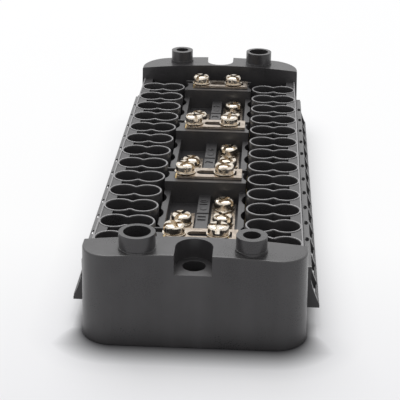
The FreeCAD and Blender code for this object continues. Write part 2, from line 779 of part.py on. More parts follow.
def make_bus_screws(side, trough, pillars):
    """The screws that hold one trough link."""
    height = size("trough_pillar_top + link_thickness")
    solids = []
    for pillar in range(1, pillars + 1):
        pole = trough * int(size("link_every")) + pillar
        turn = screw_turn(3 * pole + (side > 0))
        solids += moved(screw_solids(turn), side * size("bus_screw_place"), pole_place(pole), height)
    return add_group(f"bus_link_screws_{SIDE_NAMES[side]}_{trough + 1}", solids)


def make_clamp_screws(side):
    """The wire clamp screws of one side, two under each chimney, standing open."""
    head = size("clamp_head_diameter/2")
    height = size("clamp_head_height")
    bottom = size("deck_height + terminal_thickness + clamp_open")
    across = size("clamp_head_diameter + overshoot")
    width = size("slot_width")
    depth = size("clamp_slot_depth")
    slot = Part.makeBox(across, width, depth, FreeCAD.Vector(-across / 2, -width / 2, height - depth))
    reach = size("clamp_open + terminal_thickness")
    shank = Part.makeCylinder(size("clamp_shank_diameter/2"), reach, FreeCAD.Vector(0, 0, -reach))
    screw = Part.makeCylinder(head, height).fuse(shank).cut(slot)
    solids = []
    for pole in range(int(size("pole_count"))):
        for lobe in ("inner_lobe", "outer_lobe"):
            solids += moved([screw], side * size(lobe), pole_place(pole), bottom)
    return add_group(f"clamp_screws_{SIDE_NAMES[side]}", solids)


def make_parts():
    """Make every sub-part and return them in order."""
    parts = [make_housing(), make_carrier()]
    for side in (LEFT, RIGHT):
        parts += [make_barrier(side), make_rail(side), make_clamp_screws(side)]
    for side, pole, place_now, top in pillar_places():
        parts.append(make_terminal(side, pole, place_now, top))
    link_count = int(size(LINK_COUNT))
    for number in range(link_count):
        parts.append(make_cross_link(number))
        for side in (LEFT, RIGHT):
            parts.append(make_cross_screw(number, side))
    in_trough = int(size("link_every")) - 1
    for trough in range(link_count - 1):
        for side in (LEFT, RIGHT):
            pillars = in_trough - (side == LEFT)
            parts.append(make_bus_link(side, trough, pillars))
            parts.append(make_bus_screws(side, trough, pillars))
    return parts


def check_document():
    """Stop if a feature failed, or if a cut took nothing away."""
    for item in doc.Objects:
        if "Invalid" in item.State or "Error" in item.State:
            raise RuntimeError(f"{item.Label} failed: {item.State}")
        if item.TypeId == "PartDesign::Pocket":
            if item.Shape.Volume >= item.BaseFeature.Shape.Volume - 1e-6:
                raise RuntimeError(f"{item.Label} cuts nothing")


def export(parts):
    """Check each sub-part and write it to a file of its own."""
    os.makedirs("parts", exist_ok=True)
    for part in parts:
        shape = part.Shape
        if shape.isNull() or not shape.isValid() or not shape.Solids:
            raise RuntimeError(f"{part.Label} has no sound shape")
        shape.exportStep(f"parts/{part.Label}.step")


parts = make_parts()
doc.recompute()
check_document()
export(parts)
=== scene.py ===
"""Looks of a twenty-six pole terminal block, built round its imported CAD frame.

Lengths in the classes are in millimetres, unless a name ends in _m. They become metres
where a tree or a mesh gets them.
"""

from __future__ import annotations

import json
import logging
import math
from dataclasses import dataclass, field
from enum import Enum
from typing import Any, Sequence, Union

import bpy
from mathutils import Matrix, Vector

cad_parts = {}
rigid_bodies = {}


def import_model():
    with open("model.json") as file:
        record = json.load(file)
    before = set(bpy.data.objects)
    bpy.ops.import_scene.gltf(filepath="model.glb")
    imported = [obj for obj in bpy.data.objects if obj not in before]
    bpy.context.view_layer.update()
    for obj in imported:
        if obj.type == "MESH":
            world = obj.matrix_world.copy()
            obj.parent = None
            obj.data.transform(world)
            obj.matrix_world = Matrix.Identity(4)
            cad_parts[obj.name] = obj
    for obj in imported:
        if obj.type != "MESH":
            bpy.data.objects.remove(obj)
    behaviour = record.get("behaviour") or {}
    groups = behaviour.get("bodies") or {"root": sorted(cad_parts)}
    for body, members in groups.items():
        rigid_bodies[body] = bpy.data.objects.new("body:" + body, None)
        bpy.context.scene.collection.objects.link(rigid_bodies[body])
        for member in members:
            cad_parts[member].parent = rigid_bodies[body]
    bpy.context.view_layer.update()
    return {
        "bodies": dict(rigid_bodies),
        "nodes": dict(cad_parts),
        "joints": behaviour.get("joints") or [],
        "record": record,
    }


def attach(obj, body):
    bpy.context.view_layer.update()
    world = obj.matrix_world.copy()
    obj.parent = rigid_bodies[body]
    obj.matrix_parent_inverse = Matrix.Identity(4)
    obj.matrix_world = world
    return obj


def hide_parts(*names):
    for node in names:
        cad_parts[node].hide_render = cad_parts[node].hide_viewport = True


LOG = logging.getLogger("terminal_block")
MM = 0.001
WELD_M = 1e-6
NOISE_MEAN = 0.5
MIX_FACTOR, MIX_COLOURS, MIX_RESULT = 0, (6, 7), 2
RUN_THROUGH = 1.5  # A cutter that goes through runs on by half as much again.
RUN_OUT = 1.1  # A cutter that ends outside runs a tenth beyond.

Number = Union[float, "Value"]
Colour = tuple[float, float, float]
Point = tuple[float, float, float, float]  # A screw's X, Y and Z, and its turn.
Socket = bpy.types.NodeSocket


class Side(Enum):
    """The two long sides of the block, as the photograph shows them."""

    LEFT = -1
    RIGHT = 1

    @property
    def word(self) -> str:
        """The side's name in the CAD nodes."""
        return self.name.lower()


class Value:
    """A number socket that Python arithmetic works on by adding Math nodes."""

    def __init__(self, nodes: "Nodes", socket: Socket) -> None:
        """Wrap a socket.

        Args:
            nodes: The builder of the tree that the socket is in.
            socket: An output socket that carries a number.
        """
        self.nodes = nodes
        self.socket = socket

    def __add__(self, other: Number) -> "Value":
        """This value plus another."""
        return self.nodes.maths("ADD", self, other)

    def __sub__(self, other: Number) -> "Value":
        """This value less another."""
        return self.nodes.maths("SUBTRACT", self, other)

    def __mul__(self, other: Number) -> "Value":
        """This value times another."""
        return self.nodes.maths("MULTIPLY", self, other)

    def __truediv__(self, other: Number) -> "Value":
        """This value over another."""
        return self.nodes.maths("DIVIDE", self, other)

    def __mod__(self, other: Number) -> "Value":
        """The remainder of this value over another."""
        return self.nodes.maths("FLOORED_MODULO", self, other)

    def __pow__(self, other: Number) -> "Value":
        """This value to a power."""
        return self.nodes.maths("POWER", self, other)

    __radd__ = __add__
    __rmul__ = __mul__

    def __rsub__(self, other: Number) -> "Value":
        """Another value less this one."""
        return self.nodes.maths("SUBTRACT", other, self)

    def __rtruediv__(self, other: Number) -> "Value":
        """Another value over this one."""
        return self.nodes.maths("DIVIDE", other, self)

    def __neg__(self) -> "Value":
        """This value with its sign turned."""
        return self.nodes.maths("MULTIPLY", self, -1.0)

    def above(self, limit: Number) -> "Value":
        """One where this value is over a limit, and nought elsewhere."""
        return self.nodes.maths("GREATER_THAN", self, limit)

    def clamped(self) -> "Value":
        """This value held between nought and one."""
        return self.nodes.maths("MINIMUM", self.nodes.maths("MAXIMUM", self, 0.0), 1.0)


class Nodes:
    """Builds one node tree, of a material or of a geometry modifier."""

    def __init__(self, tree: bpy.types.NodeTree) -> None:
        """Start on a tree.

        Args:
            tree: The tree that gets the nodes.
        """
        self.tree = tree

    @classmethod
    def of(cls, owner: bpy.types.Material | bpy.types.World) -> "Nodes":
        """Start on the emptied tree of a material or a world."""
        owner.use_nodes = True
        owner.node_tree.nodes.clear()
        return cls(owner.node_tree)

    def add(self, kind: str, settings: dict[str, Any] | None = None,
            inputs: dict[str | int, Any] | None = None) -> bpy.types.Node:
        """Add a node, set it up and fill its sockets.

        Args:
            kind: The node's type.
            settings: Its own settings, which are set first.
            inputs: Values or links by socket name or number.

        Returns:
            The new node.
        """
        node = self.tree.nodes.new(kind)
        for name, setting in (settings or {}).items():
            setattr(node, name, setting)
        for key, value in (inputs or {}).items():
            self.fill(node.inputs[key], value)
        return node

    def fill(self, socket: Socket, value: Any) -> None:
        """Give a socket a link or a plain value.

        Args:
            socket: The input socket.
            value: A Value, an output socket, a node, or a number, text or colour.
        """
        if isinstance(value, Value):
            value = value.socket
        if isinstance(value, bpy.types.Node):
            value = value.outputs[0]
        if isinstance(value, Socket):
            self.tree.links.new(value, socket)
        else:
            socket.default_value = value

    def maths(self, operation: str, *terms: Number) -> Value:
        """Add a Math node.

        Args:
            operation: The node's operation.
            terms: Its one, two or three inputs.

        Returns:
            The result.
        """
        node = self.add("ShaderNodeMath", {"operation": operation}, dict(enumerate(terms)))
        return Value(self, node.outputs[0])

    def vector(self, across: Number, along: Number, up: Number) -> Socket:
        """Join three numbers into a vector."""
        return self.add("ShaderNodeCombineXYZ", None,
                        {"X": across, "Y": along, "Z": up}).outputs[0]

    def axes(self, place: Socket) -> list[Value]:
        """The X, Y and Z of a vector."""
        split = self.add("ShaderNodeSeparateXYZ", None, {"Vector": place})
        return [Value(self, output) for output in split.outputs]

    def place(self) -> Socket:
        """Object coordinates, in metres."""
        return self.add("ShaderNodeTexCoord").outputs["Object"]

    def noise(self, place: Socket, scale: float, detail: float) -> Value:
        """A noise value about one half.

        Args:
            place: The coordinates that it is read at.
            scale: Its scale per metre.
            detail: Its number of octaves.

        Returns:
            The noise.
        """
        node = self.add("ShaderNodeTexNoise", {"noise_dimensions": "3D"},
                        {"Vector": place, "Scale": scale, "Detail": detail})
        return Value(self, node.outputs["Fac"])

    def stretched(self, place: Socket, scale: Sequence[float]) -> Socket:
        """Coordinates stretched along the axes, for streaks and grain."""
        return self.add("ShaderNodeMapping", {"vector_type": "POINT"},
                        {"Vector": place, "Scale": tuple(scale)}).outputs[0]

    def blend(self, share: Value, first: Colour | Socket, second: Colour | Socket) -> Socket:
        """Mix two colours by a value.

        Args:
            share: How much of the second colour shows.
            first: The colour at nought.
            second: The colour at one.

        Returns:
            The mixed colour.
        """
        mix = self.add("ShaderNodeMix", {"data_type": "RGBA", "clamp_factor": True},
                       {MIX_FACTOR: share})
        for number, colour in zip(MIX_COLOURS, (first, second)):
            plain = isinstance(colour, tuple)
            self.fill(mix.inputs[number], (*colour, 1.0) if plain else colour)
        return mix.outputs[MIX_RESULT]

    def bump(self, height: Value, strength: float, distance_m: float,
             under: bpy.types.Node | None = None) -> bpy.types.Node:
        """Turn a height into a normal.

        Args:
            height: The height, of which one is the whole distance.
            strength: How much of it shows.
            distance_m: The greatest height, in metres.
            under: The node whose normal it lies on.

        Returns:
            The Bump node.
        """
        inputs = {"Strength": strength, "Distance": distance_m, "Height": height}
        return self.add("ShaderNodeBump", None, inputs | ({"Normal": under} if under else {}))

    def seen(self) -> Value:
        """One for rays from the eye, off a mirror or through glass, and nought for the rest."""
        path = self.add("ShaderNodeLightPath")
        rays = [Value(self, path.outputs[f"Is {kind} Ray"])
                for kind in ("Camera", "Glossy", "Transmission")]
        return sum(rays[1:], rays[0]).clamped()


class Finish:
    """A procedural finish that makes its own material."""

    label = "finish"

    def material(self) -> bpy.types.Material:
        """Return the finish's material, made on first use."""
        found = bpy.data.materials.get(self.label)
        if found:
            return found
        made = bpy.data.materials.new(self.label)
        nodes = Nodes.of(made)
        surface = nodes.add("ShaderNodeBsdfPrincipled")
        nodes.add("ShaderNodeOutputMaterial", None, {"Surface": surface})
        self.paint(nodes, surface, nodes.place())
        return made

    def paint(self, nodes: Nodes, surface: bpy.types.Node, place: Socket) -> None:
        """Add the finish's own nodes.

        Args:
            nodes: The builder of the material's tree.
            surface: The Principled shader.
            place: Object coordinates, in metres.
        """
        raise NotImplementedError


@dataclass(frozen=True)
class MouldedPlastic(Finish):
    """Black glass-filled plastic with a fine satin skin from the mould."""

    label: str = "black_moulded_plastic"
    dark: Colour = (0.034, 0.0325, 0.034)
    light: Colour = (0.056, 0.054, 0.056)
    roughness: float = 0.30
    roughness_spread: float = 0.14
    edge_m: float = 0.00025
    edge_samples: int = 4
    cloud_scale: float = 55.0
    cloud_detail: float = 4.0
    cloud_contrast: float = 1.6
    streak_scale: tuple[float, float, float] = (160.0, 160.0, 18.0)
    streak_detail: float = 2.0
    streak_contrast: float = 1.1
    skin_scale: float = 2600.0
    skin_detail: float = 2.0
    skin_strength: float = 0.25
    skin_height_m: float = 0.00004

    def paint(self, nodes: Nodes, surface: bpy.types.Node, place: Socket) -> None:
        """Cloudy black with faint flow streaks and a fine moulded skin."""
        clouds = nodes.noise(place, self.cloud_scale, self.cloud_detail) - NOISE_MEAN
        along = nodes.stretched(place, self.streak_scale)
        streaks = nodes.noise(along, 1.0, self.streak_detail) - NOISE_MEAN
        skin = nodes.noise(place, self.skin_scale, self.skin_detail)
        share = clouds * self.cloud_contrast + streaks * self.streak_contrast + NOISE_MEAN
        nodes.fill(surface.inputs["Base Color"], self.tone(nodes, share.clamped(), place))
        rough = (self.roughness + clouds * self.roughness_spread
                 + (skin - NOISE_MEAN) * self.roughness_spread)
        nodes.fill(surface.inputs["Roughness"], rough)
        rounded = nodes.add("ShaderNodeBevel", {"samples": self.edge_samples},
                            {"Radius": self.edge_m})
        bump = nodes.bump(skin, self.skin_strength, self.skin_height_m, rounded)
        nodes.fill(surface.inputs["Normal"], bump)

    def tone(self, nodes: Nodes, share: Value, place: Socket) -> Socket:
        """Make the base colour.

        Args:
            nodes: The builder of the material's tree.
            share: How cloudy the plastic is there.
            place: Object coordinates, in metres.

        Returns:
            The colour.
        """
        return nodes.blend(share, self.dark, self.light)


@dataclass(frozen=True)
class RimmedPlastic(MouldedPlastic):
    """The same plastic, with a painted highlight that makes it paler along the top of a piece."""

    label: str = "rubbed_moulded_plastic"
    rim_m: float = 0.0282
    band_m: float = 0.0001
    rubbed: Colour = (0.24, 0.235, 0.24)

    def tone(self, nodes: Nodes, share: Value, place: Socket) -> Socket:
        """The cloudy black, with a painted highlight that makes it paler over the last of the
        height.
        """
        height = nodes.axes(place)[2]
        # Painted highlight: the top band of the height is mixed towards a pale tone, where the
        # rims and the strip's top catch the light.
        highlit = ((height - (self.rim_m - self.band_m)) / (self.band_m / 2.0)).clamped()
        return nodes.blend(highlit, super().tone(nodes, share, place), self.rubbed)


@dataclass(frozen=True)
class BrightMetal(Finish):
    """Plated or bare metal with fine wear marks."""

    label: str = "bright_metal"
    clean: Colour = (0.80, 0.69, 0.60)
    dull: Colour = (0.38, 0.29, 0.22)
    roughness: float = 0.14
    roughness_spread: float = 0.20
    roughness_middle: float = 0.4
    blotch_scale: float = 420.0
    blotch_detail: float = 4.0
    blotch_middle: float = 0.45
    blotch_contrast: float = 2.4
    grain_scale: tuple[float, float, float] = (900.0, 6000.0, 6000.0)
    grain_detail: float = 2.0
    grain_roughness: float = 0.08
    grain_strength: float = 0.3
    grain_height_m: float = 0.00003
    dent_scale: float = 700.0
    dent_detail: float = 1.0
    dent_strength: float = 0.5
    dent_height_m: float = 0.00012

    def paint(self, nodes: Nodes, surface: bpy.types.Node, place: Socket) -> None:
        """Bright metal with duller blotches, shallow dents and a fine drawn grain."""
        blotches = nodes.noise(place, self.blotch_scale, self.blotch_detail)
        grain = nodes.noise(nodes.stretched(place, self.grain_scale), 1.0, self.grain_detail)
        share = ((blotches - self.blotch_middle) * self.blotch_contrast).clamped()
        nodes.fill(surface.inputs["Base Color"], nodes.blend(share, self.clean, self.dull))
        rough = (self.roughness + (blotches - self.roughness_middle) * self.roughness_spread
                 + grain * self.grain_roughness)
        nodes.fill(surface.inputs["Roughness"], rough.clamped())
        nodes.fill(surface.inputs["Metallic"], 1.0)
        dents = nodes.noise(place, self.dent_scale, self.dent_detail)
        dented = nodes.bump(dents, self.dent_strength, self.dent_height_m)
        bump = nodes.bump(grain, self.grain_strength, self.grain_height_m, dented)
        nodes.fill(surface.inputs["Normal"], bump)


PLASTIC = MouldedPlastic()
# The chimney rims carry a painted highlight.
RAIL = RimmedPlastic()
# The strip's top carries a fainter painted highlight.
BARRIER = RimmedPlastic(label="rubbed_barrier_plastic", rim_m=0.0228, band_m=0.0002,
                        rubbed=(0.115, 0.113, 0.115))
PLATE = BrightMetal(label="plate_metal", clean=(0.56, 0.48, 0.40), dull=(0.17, 0.13, 0.10))
SCREW = BrightMetal(label="screw_metal", clean=(0.80, 0.73, 0.63), dull=(0.22, 0.17, 0.13),
                    roughness=0.13, grain_scale=(1500.0, 1500.0, 7000.0), dent_scale=520.0,
                    dent_height_m=0.0004)
ZINC = BrightMetal(label="zinc_metal", clean=(0.60, 0.61, 0.63), dull=(0.34, 0.35, 0.37),
                   roughness=0.30)
BRASS = BrightMetal(label="brass_metal", clean=(0.78, 0.60, 0.30), dull=(0.52, 0.38, 0.18),
                    roughness=0.28)


class Sizes:
    """A dataclass's numbers as inputs of a tree, each added when a formula first reads it.

    A float is a length in millimetres, which is set in metres. A whole number is a count.
    """

    def __init__(self, tree: "Tree", owner: Any) -> None:
        """Stand between a tree and a dataclass.

        Args:
            tree: The tree that gets the inputs.
            owner: The dataclass that has the numbers.
        """
        self.tree = tree
        self.owner = owner

    def __getattr__(self, name: str) -> Value:
        """The input for one field, which is kept as an attribute from then on."""
        number = getattr(self.owner, name)
        value = self.tree.input(name, number if isinstance(number, int) else number * MM)
        setattr(self, name, value)
        return value


class Tree(Nodes):
    """A geometry tree with named inputs, for pieces that repeat or follow a rule."""

    def __init__(self, label: str, owner: Any) -> None:
        """Start an empty geometry tree.

        Args:
            label: The tree's name.
            owner: The dataclass whose numbers it reads.
        """
        super().__init__(bpy.data.node_groups.new(label, "GeometryNodeTree"))
        for way in ("INPUT", "OUTPUT"):
            self.tree.interface.new_socket("Geometry", in_out=way,
                                           socket_type="NodeSocketGeometry")
        self.entry = self.add("NodeGroupInput")
        self.exit = self.add("NodeGroupOutput")
        self.identifiers: dict[str, str] = {}
        self.settings: dict[str, float | int] = {}
        self.size = Sizes(self, owner)

    def input(self, name: str, number: float | int) -> Value:
        """Add a named input.

        Args:
            name: The input's name.
            number: What the modifier sets it to. A whole number makes a count.

        Returns:
            The input as a value.
        """
        label = name.replace("_", " ").title()
        kind = "NodeSocketInt" if isinstance(number, int) else "NodeSocketFloat"
        item = self.tree.interface.new_socket(label, in_out="INPUT", socket_type=kind)
        self.identifiers[name] = item.identifier
        self.settings[name] = number
        return Value(self, self.entry.outputs[label])

    def choose(self, index: Value, choices: Sequence[Number]) -> Value:
        """Pick a number by a whole-number field.

        Args:
            index: The field that picks.
            choices: The numbers, in order.

        Returns:
            The picked number.
        """
        node = self.add("GeometryNodeIndexSwitch", {"data_type": "FLOAT"})
        while len(node.index_switch_items) < len(choices):
            node.index_switch_items.new()
        self.fill(node.inputs["Index"], index)
        for number, choice in enumerate(choices):
            self.fill(node.inputs[number + 1], choice)
        return Value(self, node.outputs[0])

    def sheet(self, rows: int, columns: int) -> tuple[bpy.types.Node, Value, Value]:
        """A flat grid of points to be bent into a shape.

        Args:
            rows: How many points each column has.
            columns: How many columns there are.

        Returns:
            The grid, and each point's row and column numbers.
        """
        grid = self.add("GeometryNodeMeshGrid", None, {"Vertices X": columns, "Vertices Y": rows})
        index = Value(self, self.add("GeometryNodeInputIndex").outputs[0])
        return grid, index % float(rows), self.maths("FLOOR", index / float(rows))

    def bend(self, sheet: bpy.types.Node, across: Number, along: Number, up: Number) -> Socket:
        """Move a sheet's points to new places and weld its seams and poles.

        Args:
            sheet: The sheet.
            across: The new X.
            along: The new Y.
            up: The new Z.

        Returns:
            The bent mesh.
        """
        bent = self.add("GeometryNodeSetPosition", None,
                        {"Geometry": sheet, "Position": self.vector(across, along, up)})
        return self.welded(bent)

    def welded(self, mesh: Any) -> Socket:
        """Make one point of those that lie together."""
        return self.add("GeometryNodeMergeByDistance", None,
                        {"Geometry": mesh, "Distance": WELD_M}).outputs[0]

    def turned(self, profile: Sequence[tuple[Number, Number]], segments: int) -> Socket:
        """Turn a profile about the Z axis, as on a lathe.

        Args:
            profile: Radius and height of each point, from the bottom up the outside.
            segments: How many steps go round.

        Returns:
            The closed mesh.
        """
        sheet, row, column = self.sheet(len(profile), segments + 1)
        angle = column * (2.0 * math.pi / segments)
        radius = self.choose(row, [point[0] for point in profile])
        height = self.choose(row, [point[1] for point in profile])
        return self.bend(sheet, radius * self.maths("COSINE", angle),
                         radius * self.maths("SINE", angle), height)

    def moved(self, shape: Any, place: Sequence[Number]) -> Socket:
        """A shape moved by a way along the axes."""
        return self.add("GeometryNodeTransform", None,
                        {"Geometry": shape, "Translation": self.vector(*place)}).outputs[0]

    def block(self, size: Sequence[Number], centre: Sequence[Number]) -> Socket:
        """A box of a given size about a centre."""
        cube = self.add("GeometryNodeMeshCube", None, {"Size": self.vector(*size)})
        return self.moved(cube, centre)

    def beam(self, side: Value, *spans: tuple[Number, Number]) -> Socket:
        """A box on one side of the block.

        Args:
            side: Minus one or one.
            spans: Its two ends along each axis, with X counted outwards.

        Returns:
            Its mesh.
        """
        across, along, up = ((start + end) / 2.0 for start, end in spans)
        return self.block([end - start for start, end in spans], (side * across, along, up))

    def joined(self, *parts: Any) -> Socket:
        """Join geometries into one."""
        node = self.add("GeometryNodeJoinGeometry")
        for part in parts:
            self.fill(node.inputs[0], part)
        return node.outputs[0]

    def solid(self, operation: str, *cutters: Any) -> bpy.types.Node:
        """Add a boolean node that takes meshes as its second operand."""
        node = self.add("GeometryNodeMeshBoolean",
                        {"operation": operation, "solver": "MANIFOLD"})
        for cutter in cutters:
            self.fill(node.inputs["Mesh 2"], cutter)
        return node

    def cut(self, body: Any, *cutters: Any) -> Socket:
        """Cut other meshes out of a mesh."""
        node = self.solid("DIFFERENCE", *cutters)
        self.fill(node.inputs["Mesh 1"], body)
        return node.outputs[0]

    def fused(self, *parts: Any) -> Socket:
        """Fuse meshes into one skin."""
        return self.solid("UNION", *parts).outputs[0]

    def row(self, shape: Any, count: Value, start: Sequence[Number],
            step: Sequence[Number]) -> Socket:
        """Repeat a shape along a line.

        Args:
            shape: The geometry.
            count: How many times it stands.
            start: Where the first stands.
            step: The way from each to the next.

        Returns:
            The repeated shape, as real geometry.
        """
        line = self.add("GeometryNodeMeshLine", {"mode": "OFFSET"},
                        {"Count": count, "Start Location": self.vector(*start),
                         "Offset": self.vector(*step)})
        stand = self.add("GeometryNodeInstanceOnPoints", None,
                         {"Points": line, "Instance": shape})
        return self.add("GeometryNodeRealizeInstances", None, {"Geometry": stand}).outputs[0]

    def close(self, geometry: Any, finish: Finish, crease_deg: float = 35.0) -> None:
        """End the tree: real geometry, smooth between its creases, with its material.

        Args:
            geometry: The finished geometry.
            finish: The finish that it wears.
            crease_deg: Edges that turn by more than this stay sharp.
        """
        real = self.add("GeometryNodeRealizeInstances", None, {"Geometry": geometry})
        turn = Value(self, self.add("GeometryNodeInputMeshEdgeAngle").outputs[0])
        soft = self.maths("LESS_THAN", turn, math.radians(crease_deg))
        edges = self.add("GeometryNodeSetShadeSmooth", {"domain": "EDGE"},
                         {"Geometry": real, "Shade Smooth": soft})
        faces = self.add("GeometryNodeSetShadeSmooth", {"domain": "FACE"},
                         {"Geometry": edges, "Shade Smooth": True})
        dressed = self.add("GeometryNodeSetMaterial", None,
                           {"Geometry": faces, "Material": finish.material()})
        self.fill(self.exit.inputs[0], dressed)

    def applied(self, label: str, seed: bpy.types.Mesh | None = None,
                **changes: float) -> bpy.types.Object:
        """Run the tree on a mesh and keep the result as a plain mesh.

        Args:
            label: The new piece's name.
            seed: The mesh that the tree starts from, or none for an empty one.
            changes: Inputs that aren't as the tree has them.

        Returns:
            The piece.
        """
        piece = bpy.data.objects.new(label, seed or bpy.data.meshes.new("seed"))
        bpy.context.scene.collection.objects.link(piece)
        modifier = piece.modifiers.new("Rule", "NODES")
        modifier.node_group = self.tree
        for name, number in (self.settings | changes).items():
            modifier[self.identifiers[name]] = number
        graph = bpy.context.evaluated_depsgraph_get()
        mesh = bpy.data.meshes.new_from_object(piece.evaluated_get(graph))
        piece.modifiers.remove(modifier)
        dressed = next(material for material in mesh.materials if material)
        mesh.materials.clear()
        mesh.materials.append(dressed)
        mesh.polygons.foreach_set("material_index", [0] * len(mesh.polygons))
        piece.data = mesh
        mesh.name = label
        return piece


@dataclass
class PoleRow:
    """The row of poles that a sub-assembly follows."""

    pole_count: int = 13
    pole_pitch: float = 15.2
    link_every: int = 4

    def pole(self, number: int) -> float:
        """A pole's place along the block."""
        return (number - (self.pole_count - 1) / 2) * self.pole_pitch


@dataclass
class LinkScrew:
    """A pan-head link screw with its captive spring washer and flat washer."""

    head_diameter: float = 8.0
    head_height: float = 2.9
    head_rounding: float = 1.1
    crown_height: float = 1.21
    shank_diameter: float = 3.4
    shank_length: float = 8.0
    shank_tip: float = 0.24
    slot_width: float = 1.7
    slot_depth: float = 2.1
    cross_length: float = 7.0
    cross_depth: float = 2.1
    spring_diameter: float = 6.8
    spring_thickness: float = 0.5
    split_width: float = 0.595
    split_length: float = 4.08
    split_place: float = 2.72
    split_depth: float = 1.5
    washer_diameter: float = 8.8
    washer_thickness: float = 0.4
    hole_clearance: float = 0.1
    edge: float = 0.08
    segments: int = 56
    rounding_steps: int = 6

    def tree(self) -> Tree:
        """Build the tree that stands a screw on each point it is given.

        Returns:
            The tree.
        """
        tree = Tree("link_screw", self)
        size = tree.size
        edge, tip, length = size.edge, size.shank_tip, size.shank_length
        head, shank = size.head_diameter / 2.0, size.shank_diameter / 2.0
        seat = size.washer_thickness + size.spring_thickness
        top = seat + size.head_height
        hole = shank + size.hole_clearance
        crown = []
        for step in range(self.rounding_steps + 1):
            turn = math.pi / 2.0 * step / self.rounding_steps
            crown.append((head - size.head_rounding + size.head_rounding * math.cos(turn),
                          top - size.crown_height + size.crown_height * math.sin(turn)))
        profile = [(0.0, -length), (shank - tip, -length), (shank, tip - length),
                   (shank, seat), (head - edge, seat), (head, seat + edge), *crown, (0.0, top)]
        slot = tree.block((size.head_diameter * RUN_THROUGH, size.slot_width,
                           size.slot_depth * 2.0), (0.0, 0.0, top))
        cross = tree.block((size.slot_width, size.cross_length, size.cross_depth * 2.0),
                           (0.0, 0.0, top))
        screw = tree.cut(tree.turned(profile, self.segments), slot, cross)

        def ring(diameter: Value, low: Number, high: Value) -> Socket:
            """A flat ring round the shank, with eased outer edges."""
            outer = diameter / 2.0
            return tree.turned([(hole, low), (outer - edge, low), (outer, low + edge),
                                (outer, high - edge), (outer - edge, high), (hole, high),
                                (hole, low)], self.segments)

        flat = ring(size.washer_diameter, 0.0, size.washer_thickness)
        split = tree.block((size.split_length, size.split_width, size.split_depth),
                           (size.split_place, 0.0, seat - size.spring_thickness / 2.0))
        lock = tree.cut(ring(size.spring_diameter, size.washer_thickness, seat), split)

        turn = tree.add("GeometryNodeInputNamedAttribute", {"data_type": "FLOAT"},
                        {"Name": "turn"})
        spin = tree.add("FunctionNodeEulerToRotation", None,
                        {0: tree.vector(0.0, 0.0, Value(tree, turn.outputs[0]))})
        points = tree.add("GeometryNodeMeshToPoints", None,
                          {"Mesh": tree.entry.outputs["Geometry"]})
        stand = tree.add("GeometryNodeInstanceOnPoints", None,
                         {"Points": points, "Instance": tree.joined(screw, lock, flat),
                          "Rotation": spin})
        tree.close(stand, SCREW)
        return tree


@dataclass
class LinkScrews(PoleRow):
    """All the screws that hold link plates, set where the CAD has them."""

    screw: LinkScrew = field(default_factory=LinkScrew)
    cross_left: float = -8.7
    cross_right: float = 7.5
    bus_place: float = 8.1
    cross_foot: float = 30.85
    bus_foot: float = 21.4
    first_turn: int = 20
    turn_step: int = 67

    def turn(self, number: int) -> float:
        """The angle at which a tightened screw's slot stands, in radians."""
        return math.radians((number * self.turn_step + self.first_turn) % 180)

    def points(self, label: str, places: Sequence[Point]) -> bpy.types.Mesh:
        """A mesh of bare points, each with the turn of its screw.

        Args:
            label: The mesh's name.
            places: X, Y and Z in millimetres and the turn in radians of each screw.

        Returns:
            The mesh.
        """
        mesh = bpy.data.meshes.new(label)
        mesh.from_pydata([tuple(c * MM for c in place[:3]) for place in places], [], [])
        turns = mesh.attributes.new("turn", "FLOAT", "POINT")
        turns.data.foreach_set("value", [place[3] for place in places])
        return mesh

    def build(self) -> None:
        """Make a piece for each CAD screw node, on the body that carries it."""
        tree = self.screw.tree()
        links = (self.pole_count - 1) // self.link_every + 1
        for number in range(links):
            along = self.pole(number * self.link_every)
            for side in Side:
                across = self.cross_left if side is Side.LEFT else self.cross_right
                turn = self.turn(2 * number + (side is Side.RIGHT))
                self.stand(tree, f"cross_link_screw_{number + 1}_{side.word}",
                           f"screw_{number + 1}_{side.word}",
                           [(across, along, self.cross_foot, turn)])
        for trough in range(links - 1):
            for side in Side:
                pillars = self.link_every - 1 - (side is Side.LEFT)
                poles = [trough * self.link_every + pillar for pillar in range(1, pillars + 1)]
                places = [(side.value * self.bus_place, self.pole(pole), self.bus_foot,
                           self.turn(3 * pole + (side is Side.RIGHT))) for pole in poles]
                self.stand(tree, f"bus_link_screws_{side.word}_{trough + 1}", "root", places)

    def stand(self, tree: Tree, node: str, body: str, places: Sequence[Point]) -> None:
        """Make the screws that stand for one CAD node.

        Args:
            tree: The screw's tree.
            node: The CAD node.
            body: The body that carries them.
            places: Where each screw stands and how it is turned.
        """
        piece = tree.applied(node.replace("screw", "pan_screw"), self.points(node, places))
        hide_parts(node)
        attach(piece, body)
        LOG.info("%s: %d screws, %d faces", piece.name, len(places), len(piece.data.polygons))


